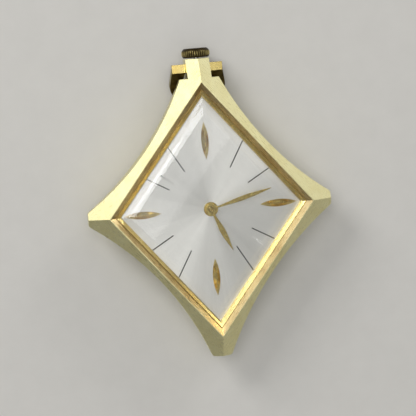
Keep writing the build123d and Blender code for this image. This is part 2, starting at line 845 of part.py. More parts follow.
# ================================================================ plates
jewel_holes_in_plate = (third_axis, fourth_axis, escape_axis, fork_axis, balance_axis)
with BuildPart() as main_plate:
    add(bore(movement_radius, centre_axis, plate_low_z, plate_top_z))
    # rooms for the barrel and, on the dial side, for the motion work
    add(bore(barrel_room, barrel_axis, plate_low_z, barrel_room_z), mode=Mode.SUBTRACT)
    add(bore(barrel_arbor_radius + slip, barrel_axis, barrel_room_z, plate_top_z), mode=Mode.SUBTRACT)
    minute_room = minute_teeth * minute_module / 2 + 0.3
    setting_room = setting_teeth * minute_module / 2 + 0.3
    cannon_room = cannon_leaves * minute_module / 2 + 0.3
    hour_room = hour_teeth * hour_module / 2 + 0.3
    for radius, axis in (
        (minute_room, minute_axis),
        (setting_room, setting_axis),
        (cannon_room, centre_axis),
    ):
        add(bore(radius, axis, motion_floor_z, plate_top_z), mode=Mode.SUBTRACT)
    add(bore(hour_room, centre_axis, hour_wheel_z - 3 * face_gap, plate_top_z), mode=Mode.SUBTRACT)
    add(bore(arbor_radius + free, centre_axis, plate_low_z, motion_floor_z), mode=Mode.SUBTRACT)
    # the keyless work's room, open to the edge along the stem
    with BuildSketch(Plane.XY.offset(plate_low_z)):
        keyless_length = keyless_y[1] - keyless_y[0]
        with Locations((0, (keyless_y[0] + keyless_y[1]) / 2)):
            Rectangle(2 * keyless_half_width, keyless_length)
        with Locations((0, movement_radius)):
            Rectangle(2 * (stem_radius + free), 2 * (movement_radius - keyless_y[1]))
    extrude(amount=plate_top_z - plate_low_z, mode=Mode.SUBTRACT)
    with BuildSketch(Plane.XY.offset(lever_z - face_gap)):
        for pivot, nose in ((lever_pivot, lever_nose), (yoke_pivot, yoke_nose)):
            with Locations((pivot[0] / 2, (pivot[1] + nose[1]) / 2 + 0.1)):
                Rectangle(pivot[0] + 1.6, 1.9)
        with Locations((0, movement_radius)):
            Rectangle(1.4, 2 * (movement_radius - keyless_y[1]))
    extrude(amount=plate_top_z - lever_z + face_gap, mode=Mode.SUBTRACT)
    # jewel seats, screw holes, dial feet and the holes of the two lever pivots
    for axis in jewel_holes_in_plate:
        seat_top_z = plate_low_z + jewel_thickness
        add(bore(jewel_radius + slip, axis, plate_low_z, seat_top_z), mode=Mode.SUBTRACT)
        add(bore(2 * pivot_radius, axis, seat_top_z, seat_top_z + 0.2), mode=Mode.SUBTRACT)
    for axis in (*barrel_bridge_feet, *train_bridge_feet, cock_foot):
        add(bore(screw_radius + slip, axis, plate_low_z, screw_end_z + free), mode=Mode.SUBTRACT)
    for axis in fork_posts:
        fork_screw_room = plate_low_z + 0.6
        add(bore(fork_screw_radius + slip, axis, plate_low_z, fork_screw_room), mode=Mode.SUBTRACT)
    for foot in dial_feet:
        add(bore(dial_foot_radius + slip, foot, dial_foot_z - free, plate_top_z), mode=Mode.SUBTRACT)
    for pivot in (lever_pivot, yoke_pivot):
        add(bore(lever_pin_radius + slip, pivot, plate_low_z, plate_top_z), mode=Mode.SUBTRACT)
    # posts that the minute wheel and the setting wheel turn on
    for axis in (minute_axis, setting_axis):
        add(turned([(minute_post_radius, motion_floor_z, plate_top_z)], at=axis))
save(main_plate, "main_plate")


def bridge_blank(corners):
    """A flat bridge: a polygon cut round at the movement's edge, clear of the balance."""
    with BuildPart() as blank:
        with BuildSketch(Plane.XY.offset(bridge_low_z)):
            with BuildLine():
                Polyline(*corners, close=True)
            make_face()
            Circle(bridge_reach, mode=Mode.INTERSECT)
            with Locations(balance_axis):
                Circle(balance_room, mode=Mode.SUBTRACT)
        extrude(amount=bridge_top_z - bridge_low_z)
    return blank.part


def bridge_foot(at, low_z):
    """A round foot that stands on the main plate."""
    return turned([(foot_radius, low_z, plate_low_z)], at=at)


edge = movement_radius
with BuildPart() as barrel_bridge:
    add(
        bridge_blank(
            [
                (-edge, -3.4),
                (-5.4, -3.4),
                (-4.2, -0.4),
                (-1.4, 1.1),
                (1.4, 1.1),
                (3.6, 4.4),
                (3.6, edge),
                (-edge, edge),
            ]
        )
    )
    for foot in barrel_bridge_feet:
        add(bridge_foot(foot, bridge_low_z))
        add(bore(screw_radius + free, foot, bridge_low_z, plate_low_z), mode=Mode.SUBTRACT)
    add(bore(barrel_arbor_radius + slip, barrel_axis, bridge_low_z, bridge_top_z), mode=Mode.SUBTRACT)
    # seats of the ratchet wheel and the crown wheel, and the slot over the winding pinion
    wheel_seat_z = bridge_low_z + 0.3
    for radius, axis in ((ratchet_radius, barrel_axis), (crown_wheel_radius, crown_wheel_axis)):
        add(bore(radius + 0.2, axis, bridge_low_z, wheel_seat_z), mode=Mode.SUBTRACT)
    add(bore(screw_radius + slip, crown_wheel_axis, wheel_seat_z, bridge_top_z), mode=Mode.SUBTRACT)
    with BuildSketch(Plane.XY.offset(wheel_seat_z)):
        with Locations((0, (winding_pinion_y[0] + winding_pinion_y[1]) / 2)):
            Rectangle(2 * keyless_half_width, winding_pinion_y[1] - winding_pinion_y[0] + 0.3)
    extrude(amount=bridge_top_z - wheel_seat_z, mode=Mode.SUBTRACT)
    with BuildSketch(Plane.XY.offset(stem_z - sliding_pinion_radius - free)):
        with Locations((0, (sliding_pinion_y[0] + sliding_pinion_y[1] - sliding_travel) / 2)):
            Rectangle(2 * keyless_half_width, sliding_pinion_y[1] - sliding_pinion_y[0] + 1.0)
    extrude(amount=1, mode=Mode.SUBTRACT)
    # the click turns on a post in a seat of its own
    with BuildSketch(Plane.XY.offset(bridge_low_z)):
        add(bar(click_pivot, click_nose, 1.4))
    extrude(amount=wheel_seat_z - bridge_low_z, mode=Mode.SUBTRACT)
    with BuildSketch(Plane.XY.offset(bridge_low_z)):
        add(bar(click_spring_foot, click_spring_tip, 0.6))
    extrude(amount=wheel_seat_z - bridge_low_z, mode=Mode.SUBTRACT)
    add(bore(2 * pivot_radius + slip, click_spring_foot, bridge_low_z, bridge_top_z), mode=Mode.SUBTRACT)
    add(turned([(2 * pivot_radius, bridge_low_z, bridge_top_z)], at=click_pivot))
save(barrel_bridge, "barrel_bridge")

with BuildPart() as train_bridge:
    add(
        bridge_blank(
            [
                (-1.3, 0.8),
                (0.9, 0.8),
                (2.2, -1.6),
                (5.6, -3.0),
                (edge, -3.6),
                (edge, -edge),
                (-edge, -edge),
                (-6.6, -3.9),
                (-4.6, -3.4),
                (-3.4, -0.9),
            ]
        )
    )
    add(bore(ratchet_radius + 0.35, barrel_axis, bridge_low_z, bridge_top_z), mode=Mode.SUBTRACT)
    for foot in train_bridge_feet:
        add(bridge_foot(foot, bridge_low_z))
        add(bore(screw_radius + free, foot, bridge_low_z, plate_low_z), mode=Mode.SUBTRACT)
    for axis in (third_axis, fourth_axis, escape_axis, centre_axis):
        seat_low_z = bridge_top_z - jewel_thickness
        add(bore(jewel_radius + slip, axis, seat_low_z, bridge_top_z), mode=Mode.SUBTRACT)
        add(bore(2 * pivot_radius, axis, bridge_low_z, seat_low_z), mode=Mode.SUBTRACT)
save(train_bridge, "train_bridge")

with BuildPart() as pallet_bridge:
    with BuildSketch(Plane.XY.offset(fork_bridge_low_z)):
        add(bar(*fork_posts, fork_bridge_width))
        with Locations(fork_axis):
            Circle(pivot_radius + slip, mode=Mode.SUBTRACT)
    extrude(amount=fork_bridge_top_z - fork_bridge_low_z)
    for post in fork_posts:
        add(turned([(fork_post_radius, fork_bridge_top_z, plate_low_z)], at=post))
        add(bore(fork_screw_radius + slip, post, fork_bridge_low_z, plate_low_z), mode=Mode.SUBTRACT)
        head_z = fork_bridge_low_z + fork_head_depth
        add(bore(fork_head_radius, post, fork_bridge_low_z, head_z), mode=Mode.SUBTRACT)
save(pallet_bridge, "pallet_bridge")

cock_head_radius = 1.15
with BuildPart() as balance_cock:
    with BuildSketch(Plane.XY.offset(cock_low_z)):
        add(bar(cock_foot, balance_axis, 1.5))
        with Locations(balance_axis):
            Circle(cock_head_radius)
    extrude(amount=cock_top_z - cock_low_z)
    add(bridge_foot(cock_foot, cock_low_z))
    add(bore(screw_radius + free, cock_foot, cock_low_z, plate_low_z), mode=Mode.SUBTRACT)
    cock_seat_z = cock_top_z - jewel_thickness
    add(bore(jewel_radius + slip, balance_axis, cock_seat_z, cock_top_z), mode=Mode.SUBTRACT)
    add(bore(2 * pivot_radius, balance_axis, cock_low_z, cock_seat_z), mode=Mode.SUBTRACT)
save(balance_cock, "balance_cock")

with BuildPart() as bridge_screws:
    for foot in (*barrel_bridge_feet, *train_bridge_feet):
        add(screw(foot, bridge_low_z - screw_head_height, screw_end_z, screw_radius, screw_head_radius))
    add(screw(cock_foot, cock_low_z - screw_head_height, screw_end_z, screw_radius, screw_head_radius))
    for post in fork_posts:
        add(
            screw(
                post,
                fork_bridge_low_z,
                plate_low_z + 0.55,
                fork_screw_radius,
                fork_screw_radius * 1.5,
                head_height=0.12,
            )
        )
save(bridge_screws, "bridge_screws")

with BuildPart() as jewels:
    seats = [(axis, plate_low_z) for axis in jewel_holes_in_plate]
    seats += [
        (axis, bridge_top_z - jewel_thickness)
        for axis in (third_axis, fourth_axis, escape_axis, centre_axis)
    ]
    seats += [(balance_axis, cock_top_z - jewel_thickness)]
    for axis, low_z in seats:
        with BuildSketch(Plane.XY.offset(low_z)):
            with Locations(axis):
                Circle(jewel_radius)
                Circle(pivot_radius + slip, mode=Mode.SUBTRACT)
        extrude(amount=jewel_thickness)
save(jewels, "jewels")

# ================================================================ power
with BuildPart() as barrel_drum:
    centre_to_barrel = bearing(centre_axis, barrel_axis)
    add(
        gear(
            barrel_teeth,
            barrel_module,
            gap_phase(barrel_teeth, centre_to_barrel + 180),
            barrel_axis,
            barrel_low_z,
            barrel_teeth_top_z,
        )
    )
    add(turned([(barrel_wall_radius, barrel_teeth_top_z, barrel_cover_z)], at=barrel_axis))
    drum_floor_z = barrel_low_z + 0.12
    inner_radius = barrel_wall_radius - barrel_wall
    add(bore(inner_radius, barrel_axis, drum_floor_z, barrel_cover_z), mode=Mode.SUBTRACT)
    add(bore(barrel_arbor_radius + slip, barrel_axis, barrel_low_z, drum_floor_z), mode=Mode.SUBTRACT)
save(barrel_drum, "barrel_drum")

with BuildPart() as barrel_cover:
    with BuildSketch(Plane.XY.offset(barrel_cover_z)):
        with Locations(barrel_axis):
            Circle(barrel_wall_radius)
            Circle(barrel_arbor_radius + slip, mode=Mode.SUBTRACT)
    extrude(amount=barrel_top_z - barrel_cover_z)
save(barrel_cover, "barrel_cover")

with BuildPart() as barrel_arbor:
    add(
        turned(
            [
                (barrel_arbor_radius, wheel_seat_z, drum_floor_z + free),
                (barrel_core_radius, drum_floor_z + free, barrel_cover_z - free),
                (barrel_arbor_radius, barrel_cover_z - free, plate_top_z - free),
            ],
            at=barrel_axis,
        )
    )
    # the square that the ratchet wheel sits on, with the hole of its screw
    with BuildSketch(Plane.XY.offset(bridge_low_z + free)):
        with Locations(barrel_axis):
            Rectangle(0.56, 0.56)
    extrude(amount=wheel_seat_z - bridge_low_z - free)
    add(bore(0.14 + slip, barrel_axis, bridge_low_z, bridge_low_z + 1.0), mode=Mode.SUBTRACT)
save(barrel_arbor, "barrel_arbor")

with BuildPart() as mainspring:
    with BuildSketch(Plane.XY.offset(drum_floor_z + free)):
        with Locations(barrel_axis):
            add(
                spiral_strip(
                    mainspring_first_radius, 2 * mainspring_pitch, mainspring_turns, mainspring_thickness
                )
            )
    extrude(amount=barrel_cover_z - drum_floor_z - 2 * free)
save(mainspring, "mainspring")

with BuildPart() as ratchet_wheel:
    ratchet_to_crown_wheel = bearing(barrel_axis, crown_wheel_axis)
    add(
        gear(
            ratchet_teeth,
            winding_module,
            ratchet_to_crown_wheel,
            barrel_axis,
            bridge_low_z,
            wheel_seat_z - face_gap,
        )
    )
    with BuildSketch(Plane.XY.offset(bridge_low_z)):
        with Locations(barrel_axis):
            Rectangle(0.56 + 2 * slip, 0.56 + 2 * slip)
    extrude(amount=0.3, mode=Mode.SUBTRACT)
save(ratchet_wheel, "ratchet_wheel")

with BuildPart() as ratchet_screw:
    add(screw(barrel_axis, bridge_low_z - screw_head_height, bridge_low_z + 0.9, 0.14, 0.9))
save(ratchet_screw, "ratchet_screw")

with BuildPart() as crown_wheel:
    add(
        gear(
            crown_wheel_teeth,
            winding_module,
            gap_phase(crown_wheel_teeth, ratchet_to_crown_wheel + 180),
            crown_wheel_axis,
            bridge_low_z,
            wheel_seat_z - face_gap,
        )
    )
    add(bore(screw_radius + slip, crown_wheel_axis, bridge_low_z, wheel_seat_z), mode=Mode.SUBTRACT)
save(crown_wheel, "crown_wheel")

with BuildPart() as crown_wheel_screw:
    add(
        screw(
            crown_wheel_axis,
            bridge_low_z - face_gap - screw_head_height,
            stem_z - sliding_pinion_radius - 2 * free,
            screw_radius,
            0.75,
        )
    )
save(crown_wheel_screw, "crown_wheel_screw")

with BuildPart() as click_spring:
    with BuildSketch(Plane.XY.offset(bridge_low_z + face_gap)):
        add(bar(click_spring_foot, click_spring_tip, click_spring_width))
        with Locations(click_spring_foot):
            Circle(2 * pivot_radius)
    extrude(amount=click_thickness)
    add(bore(2 * pivot_radius, click_spring_foot, wheel_seat_z - free, bridge_top_z))
save(click_spring, "click_spring")

with BuildPart() as click:
    with BuildSketch(Plane.XY.offset(bridge_low_z + face_gap)):
        with Locations(click_pivot):
            Circle(0.5)
        add(bar(click_pivot, click_nose, click_width))
        with Locations(click_pivot):
            Circle(2 * pivot_radius + slip, mode=Mode.SUBTRACT)
    extrude(amount=click_thickness)
save(click, "click")

# ================================================================ train
centre_to_third = bearing(centre_axis, third_axis)
third_to_fourth = bearing(third_axis, fourth_axis)
fourth_to_escape = bearing(fourth_axis, escape_axis)

with BuildPart() as centre_wheel:
    add(
        spoked_wheel(
            centre_teeth, centre_module, centre_to_third, centre_axis, centre_wheel_z, arbor_radius + slip
        )
    )
save(centre_wheel, "centre_wheel")

with BuildPart() as centre_pinion:
    leaves_low_z = centre_wheel_z + wheel_thickness
    add(
        gear(
            centre_pinion_leaves,
            barrel_module,
            centre_to_barrel,
            centre_axis,
            leaves_low_z,
            plate_low_z - free,
        )
    )
    add(
        turned(
            [
                (pivot_radius, bridge_top_z - jewel_thickness - 0.3, bridge_top_z + free),
                (arbor_radius, bridge_top_z + free, leaves_low_z),
                (arbor_radius, plate_low_z - free, minute_wheel_z - free),
                (cannon_bore - slip, minute_wheel_z - free, minute_hand_z - free),
            ]
        )
    )
save(centre_pinion, "centre_pinion")


def train_pinion(at, leaves, module, phase, leaves_z, arbor_low_z, arbor_top_z):
    """A leaved pinion on its arbor, with a pivot at each end."""
    with BuildPart() as pinion:
        add(gear(leaves, module, phase, at, *leaves_z))
        add(
            turned(
                [
                    (pivot_radius, arbor_low_z - jewel_thickness - 0.1, arbor_low_z),
                    (arbor_radius, arbor_low_z, arbor_top_z),
                    (pivot_radius, arbor_top_z, arbor_top_z + jewel_thickness + 0.1),
                ],
                at=at,
            )
        )
    return pinion.part


with BuildPart() as third_wheel:
    add(
        spoked_wheel(
            third_teeth, third_module, third_to_fourth, third_axis, third_wheel_z, arbor_radius + slip
        )
    )
save(third_wheel, "third_wheel")

with BuildPart() as third_pinion:
    add(
        train_pinion(
            third_axis,
            pinion_leaves,
            centre_module,
            gap_phase(pinion_leaves, centre_to_third + 180),
            (third_wheel_z + wheel_thickness, centre_wheel_z + wheel_thickness + free),
            bridge_top_z + free,
            plate_low_z - free,
        )
    )
save(third_pinion, "third_pinion")

with BuildPart() as fourth_wheel:
    add(
        spoked_wheel(
            fourth_teeth, fourth_module, fourth_to_escape, fourth_axis, fourth_wheel_z, arbor_radius + slip
        )
    )
save(fourth_wheel, "fourth_wheel")

with BuildPart() as fourth_pinion:
    add(
        train_pinion(
            fourth_axis,
            pinion_leaves,
            third_module,
            gap_phase(pinion_leaves, third_to_fourth + 180),
            (third_wheel_z - free, third_wheel_z + wheel_thickness + free),
            bridge_top_z + free,
            plate_low_z - free,
        )
    )
save(fourth_pinion, "fourth_pinion")

escape_root = escape_radius - 0.42
club = ((escape_root, 0.0), (escape_radius, 0.32), (escape_radius - 0.1, 0.52), (escape_root, 0.3))
club_step = 360 / escape_teeth
club_phase = fork_angle + club_step / 2


def club_outline():
    """The escape wheel's slanting club teeth."""
    corners = [
        polar(radius, club_phase + (n + share) * club_step)
        for n in range(escape_teeth)
        for radius, share in club
    ]
    with BuildSketch() as shape:
        with BuildLine():
            Polyline(*corners, close=True)
        make_face()
    return shape.sketch


with BuildPart() as escape_wheel:
    with BuildSketch(Plane.XY.offset(escape_wheel_z)):
        with Locations(escape_axis):
            add(club_outline())
            Circle(escape_root - 0.22, mode=Mode.SUBTRACT)
            Circle(0.45)
            Rectangle(2 * escape_root - 0.3, 0.2)
            Rectangle(0.2, 2 * escape_root - 0.3)
            Circle(arbor_radius + slip, mode=Mode.SUBTRACT)
    extrude(amount=wheel_thickness)
save(escape_wheel, "escape_wheel")

with BuildPart() as escape_pinion:
    add(
        train_pinion(
            escape_axis,
            escape_pinion_leaves,
            fourth_module,
            gap_phase(escape_pinion_leaves, fourth_to_escape + 180),
            (fourth_wheel_z - free, plate_low_z - free),
            bridge_top_z + free,
            plate_low_z - free,
        )
    )
save(escape_pinion, "escape_pinion")

# ================================================================ escapement
fork_plane = Plane(
    origin=(fork_axis[0], fork_axis[1], fork_z),
    x_dir=(cos(radians(fork_angle)), sin(radians(fork_angle)), 0),
)
fork_to_escape = hypot(fork_axis[0] - escape_axis[0], fork_axis[1] - escape_axis[1])
fork_to_balance = hypot(fork_axis[0] - balance_axis[0], fork_axis[1] - balance_axis[1])
stone_reach = escape_radius + 0.03
stone_angle = 30
stone_seats = [
    (
        -fork_to_escape + stone_reach * cos(radians(stone_angle)),
        side * stone_reach * sin(radians(stone_angle)),
    )
    for side in (-1, 1)
]
impulse_radius = 0.62
impulse_pin_radius = 0.09
fork_thickness = 0.2
with BuildPart() as pallet_fork:
    with BuildSketch(fork_plane):
        add(bar((0, 0), (fork_to_balance - impulse_radius - 0.15, 0), 0.26))
        with Locations((fork_to_balance - impulse_radius - 0.05, 0)):
            Rectangle(0.3, 0.7)
        for x, y in stone_seats:
            add(bar((0, 0), (x + 0.35, y * 1.05), 0.28))
        Circle(0.34)
        Circle(arbor_radius * 0.8 + slip, mode=Mode.SUBTRACT)
        with Locations((fork_to_balance - impulse_radius, 0)):
            Rectangle(0.42, 0.24, mode=Mode.SUBTRACT)
        for x, y in stone_seats:
            with Locations((x + 0.2, y)):
                Rectangle(0.42 + 2 * slip, 0.16 + 2 * slip, mode=Mode.SUBTRACT)
    extrude(amount=fork_thickness)
save(pallet_fork, "pallet_fork")

with BuildPart() as pallet_stones:
    with BuildSketch(fork_plane):
        for x, y in stone_seats:
            with Locations((x + 0.2, y)):
                Rectangle(0.42, 0.16)
    extrude(amount=fork_thickness)
save(pallet_stones, "pallet_stones")

with BuildPart() as pallet_staff:
    add(
        turned(
            [
                (pivot_radius, fork_bridge_low_z + 0.04, fork_bridge_top_z + 0.04),
                (arbor_radius * 0.8, fork_bridge_top_z + 0.04, plate_low_z - free),
                (pivot_radius, plate_low_z - free, plate_low_z + jewel_thickness),
            ],
            at=fork_axis,
        )
    )
save(pallet_staff, "pallet_staff")

with BuildPart() as balance_wheel:
    with BuildSketch(Plane.XY.offset(balance_low_z)):
        with Locations(balance_axis):
            Circle(balance_radius)
            Circle(balance_radius - balance_rim, mode=Mode.SUBTRACT)
            Rectangle(2 * balance_radius - balance_rim, balance_arm)
            Circle(0.6)
            Circle(arbor_radius + slip, mode=Mode.SUBTRACT)
    extrude(amount=balance_top_z - balance_low_z)
save(balance_wheel, "balance_wheel")

roller_low_z = 2.3
roller_top_z = 2.5
with BuildPart() as balance_staff:
    add(
        turned(
            [
                (pivot_radius, cock_top_z - jewel_thickness, cock_top_z + free),
                (arbor_radius, cock_top_z + free, plate_low_z - free),
                (pivot_radius, plate_low_z - free, plate_low_z + jewel_thickness),
            ],
            at=balance_axis,
        )
    )
save(balance_staff, "balance_staff")

with BuildPart() as roller:
    with BuildSketch(Plane.XY.offset(roller_low_z)):
        with Locations(balance_axis):
            Circle(impulse_radius + 0.22)
            Circle(arbor_radius + slip, mode=Mode.SUBTRACT)
    extrude(amount=roller_top_z - roller_low_z)
    pin_place = beyond(balance_axis, impulse_radius, fork_angle + 180)
    add(turned([(impulse_pin_radius, roller_top_z, fork_z + fork_thickness)], at=pin_place))
save(roller, "roller")

with BuildPart() as hairspring:
    with BuildSketch(Plane.XY.offset(hairspring_low_z)):
        with Locations(balance_axis):
            add(
                spiral_strip(
                    hairspring_first_radius, 2 * hairspring_pitch, hairspring_turns, hairspring_thickness
                )
            )
    extrude(amount=hairspring_height)
    # the collet that grips the staff
    with BuildSketch(Plane.XY.offset(hairspring_low_z)):
        with Locations(balance_axis):
            Circle(hairspring_first_radius + hairspring_thickness / 4)
            Circle(arbor_radius + slip, mode=Mode.SUBTRACT)
    extrude(amount=hairspring_height)
save(hairspring, "hairspring")

hairspring_end = (
    balance_axis[0] + hairspring_first_radius + (hairspring_turns - 1) * hairspring_pitch + hairspring_pitch,
    balance_axis[1],
)
with BuildPart() as hairspring_stud:
    stud_top_z = hairspring_low_z + hairspring_height
    stud_axis = (hairspring_end[0] + stud_offset, hairspring_end[1])
    add(turned([(stud_radius, cock_top_z, stud_top_z)], at=stud_axis))
    add(turned([(0.3, cock_low_z, cock_top_z)], at=(hairspring_end[0] + 0.17, hairspring_end[1])))
save(hairspring_stud, "hairspring_stud")

with BuildPart() as regulator:
    with BuildSketch(Plane.XY.offset(cock_low_z - 0.15)):
        with Locations(balance_axis):
            Circle(0.62)
        add(bar(balance_axis, beyond(balance_axis, 1.7, 200), 0.24))
        with Locations(balance_axis):
            Circle(0.36, mode=Mode.SUBTRACT)
    extrude(amount=0.15)
save(regulator, "regulator")

# ================================================================ motion work and hands
with BuildPart() as cannon_pinion:
    centre_to_minute = bearing(centre_axis, minute_axis)
    add(
        gear(
            cannon_leaves,
            minute_module,
            centre_to_minute,
            centre_axis,
            minute_wheel_z,
            hour_wheel_z - 2 * face_gap,
        )
    )
    add(turned([(cannon_radius, hour_wheel_z - 2 * face_gap, minute_hand_z + hand_thickness + 0.15)]))
    add(bore(cannon_bore, centre_axis, minute_wheel_z, minute_hand_z + 1), mode=Mode.SUBTRACT)
save(cannon_pinion, "cannon_pinion")

with BuildPart() as minute_wheel:
    add(
        gear(
            minute_teeth,
            minute_module,
            gap_phase(minute_teeth, centre_to_minute + 180),
            minute_axis,
            minute_wheel_z,
            minute_wheel_z + wheel_thickness,
        )
    )
    add(
        gear(
            minute_pinion_leaves,
            hour_module,
            centre_to_minute + 180,
            minute_axis,
            minute_wheel_z + wheel_thickness,
            hour_wheel_z + wheel_thickness,
        )
    )
    add(
        bore(minute_post_radius + slip, minute_axis, minute_wheel_z, hour_wheel_z + wheel_thickness),
        mode=Mode.SUBTRACT,
    )
save(minute_wheel, "minute_wheel")

with BuildPart() as hour_wheel:
    add(
        gear(
            hour_teeth,
            hour_module,
            gap_phase(hour_teeth, centre_to_minute),
            centre_axis,
            hour_wheel_z,
            hour_wheel_z + wheel_thickness,
        )
    )
    hour_pipe_top_z = hour_hand_z + hand_thickness + 0.05
    add(turned([(hour_pipe_radius, hour_wheel_z + wheel_thickness, hour_pipe_top_z)]))
    add(bore(hour_pipe_bore, centre_axis, hour_wheel_z, hour_pipe_top_z), mode=Mode.SUBTRACT)
save(hour_wheel, "hour_wheel")

with BuildPart() as hour_hand:
    with BuildSketch(hand_plane(hour_hand_z, hour_hand_angle)):
        add(leaf(hour_boss_radius - 0.1, hour_hand_length, hour_hand_width, hand_neck_width + 0.1))
        Circle(hour_boss_radius)
        Circle(hour_pipe_radius + slip / 2, mode=Mode.SUBTRACT)
    extrude(amount=hand_thickness)
save(hour_hand, "hour_hand")

with BuildPart() as minute_hand:
    with BuildSketch(hand_plane(minute_hand_z, minute_hand_angle)):
        add(leaf(minute_boss_radius - 0.1, minute_hand_length, minute_hand_width, hand_neck_width))
        Circle(minute_boss_radius)
        Circle(cannon_radius + slip / 2, mode=Mode.SUBTRACT)
    extrude(amount=hand_thickness)
save(minute_hand, "minute_hand")
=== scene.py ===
import json
import math

import bmesh
import bpy
from mathutils import Matrix, Vector


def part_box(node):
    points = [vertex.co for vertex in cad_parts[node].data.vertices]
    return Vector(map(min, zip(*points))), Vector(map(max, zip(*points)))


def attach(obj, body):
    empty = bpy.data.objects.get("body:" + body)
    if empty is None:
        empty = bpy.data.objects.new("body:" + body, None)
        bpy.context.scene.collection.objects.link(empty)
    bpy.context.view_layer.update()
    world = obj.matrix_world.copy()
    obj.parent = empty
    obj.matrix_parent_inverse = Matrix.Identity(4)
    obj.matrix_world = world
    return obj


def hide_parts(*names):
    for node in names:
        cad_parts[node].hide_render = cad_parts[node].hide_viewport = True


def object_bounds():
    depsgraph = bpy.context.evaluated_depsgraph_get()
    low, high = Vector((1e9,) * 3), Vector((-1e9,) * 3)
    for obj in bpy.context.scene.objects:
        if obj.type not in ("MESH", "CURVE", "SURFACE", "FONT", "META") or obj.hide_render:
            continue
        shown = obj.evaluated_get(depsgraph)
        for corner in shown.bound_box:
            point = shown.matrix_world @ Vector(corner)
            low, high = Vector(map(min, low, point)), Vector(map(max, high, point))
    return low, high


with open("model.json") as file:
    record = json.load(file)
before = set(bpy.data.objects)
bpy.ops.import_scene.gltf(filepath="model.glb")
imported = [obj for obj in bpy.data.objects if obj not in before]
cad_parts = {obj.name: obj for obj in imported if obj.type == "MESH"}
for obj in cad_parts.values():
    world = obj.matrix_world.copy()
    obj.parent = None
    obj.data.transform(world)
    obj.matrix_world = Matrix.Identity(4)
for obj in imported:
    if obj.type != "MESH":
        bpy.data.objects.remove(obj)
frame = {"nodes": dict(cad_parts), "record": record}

MM = 0.001
SAME_PLACE = 1e-7  # points of a mesh nearer than this are one point
SMALLEST = 1e-6  # a length too small to matter, so that nothing is divided by zero
SIDE_X, SIDE_Y = 0.631, 0.776  # the direction of the diamond's sides
record = frame["record"]
cad_low, cad_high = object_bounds()
SLOT = {s["node"]: s["material_slot"] for s in record["subparts"]}
BODY = {n: b for b, names in record["behaviour"]["bodies"].items() for n in names}


# ---------------------------------------------------------------- node helpers
class Nodes:
    """A material's node tree, with short calls for the nodes used here."""

    def __init__(self, name):
        self.material = bpy.data.materials.new(name)
        self.material.use_nodes = True
        self.tree = self.material.node_tree
        self.shader = self.tree.nodes["Principled BSDF"]
        self.output = self.tree.nodes["Material Output"]
        self.place = self.node("ShaderNodeTexCoord").outputs["Object"]

    def node(self, kind, **settings):
        n = self.tree.nodes.new(kind)
        for key, value in settings.items():
            setattr(n, key, value)
        return n

    def link(self, source, socket):
        self.tree.links.new(source, socket)

    def feed(self, socket, value):
        if hasattr(value, "is_output"):
            self.link(value, socket)
        else:
            socket.default_value = value

    def math(self, operation, *values):
        n = self.node("ShaderNodeMath", operation=operation)
        for socket, value in zip(n.inputs, values):
            self.feed(socket, value)
        return n.outputs[0]

    def split(self, vector):
        n = self.node("ShaderNodeSeparateXYZ")
        self.link(vector, n.inputs[0])
        return n.outputs

    def join(self, x, y, z):
        n = self.node("ShaderNodeCombineXYZ")
        for socket, value in zip(n.inputs, (x, y, z)):
            self.feed(socket, value)
        return n.outputs[0]

    def even(self, scale):
        """The place on the piece, scaled the same each way."""
        n = self.node("ShaderNodeMapping", vector_type="POINT")
        self.link(self.place, n.inputs["Vector"])
        n.inputs["Scale"].default_value = (scale, scale, scale)
        return n.outputs[0]

    def noise(self, vector, scale=1.0, detail=2.0, roughness=0.5):
        n = self.node("ShaderNodeTexNoise")
        self.link(vector, n.inputs["Vector"])
        n.inputs["Scale"].default_value = scale
        n.inputs["Detail"].default_value = detail
        n.inputs["Roughness"].default_value = roughness
        return n.outputs["Fac"]

    def spread(self, value, low, high, to_low, to_high):
        n = self.node("ShaderNodeMapRange")
        self.link(value, n.inputs["Value"])
        for key, number in zip(("From Min", "From Max", "To Min", "To Max"), (low, high, to_low, to_high)):
            n.inputs[key].default_value = number
        return n.outputs[0]

    def blend(self, share, first, second):
        n = self.node("ShaderNodeMix", data_type="RGBA")
        self.feed(n.inputs["Factor"], share)
        self.feed(n.inputs["A"], (*first, 1.0) if isinstance(first, tuple) else first)
        self.feed(n.inputs["B"], (*second, 1.0) if isinstance(second, tuple) else second)
        return n.outputs["Result"]

    def bump(self, height, depth, strength=1.0):
        n = self.node("ShaderNodeBump")
        self.link(height, n.inputs["Height"])
        n.inputs["Distance"].default_value = depth
        n.inputs["Strength"].default_value = strength
        self.link(n.outputs[0], self.shader.inputs["Normal"])

    def set(self, **values):
        for key, value in values.items():
            self.feed(self.shader.inputs[key.replace("_", " ")], value)


def from_axis(n):
    """The way out from the upright axis through the dial's middle: x part, y part and distance."""
    x, y, _ = n.split(n.place)
    away = n.math("SQRT", n.math("ADD", n.math("MULTIPLY", x, x), n.math("MULTIPLY", y, y)))
    return x, y, n.math("MAXIMUM", away, SMALLEST)


def along_sides(n, across_scale, along_scale):
    """Coordinates for a grain that runs along each of the diamond's four sides."""
    x, y, _ = n.split(n.place)
    side_x, side_y = n.math("ABSOLUTE", x), n.math("ABSOLUTE", y)
    across = n.math("ADD", n.math("MULTIPLY", side_x, SIDE_Y), n.math("MULTIPLY", side_y, SIDE_X))
    along = n.math("SUBTRACT", n.math("MULTIPLY", side_x, SIDE_X), n.math("MULTIPLY", side_y, SIDE_Y))
    return n.join(n.math("MULTIPLY", across, across_scale), n.math("MULTIPLY", along, along_scale), 0.0)


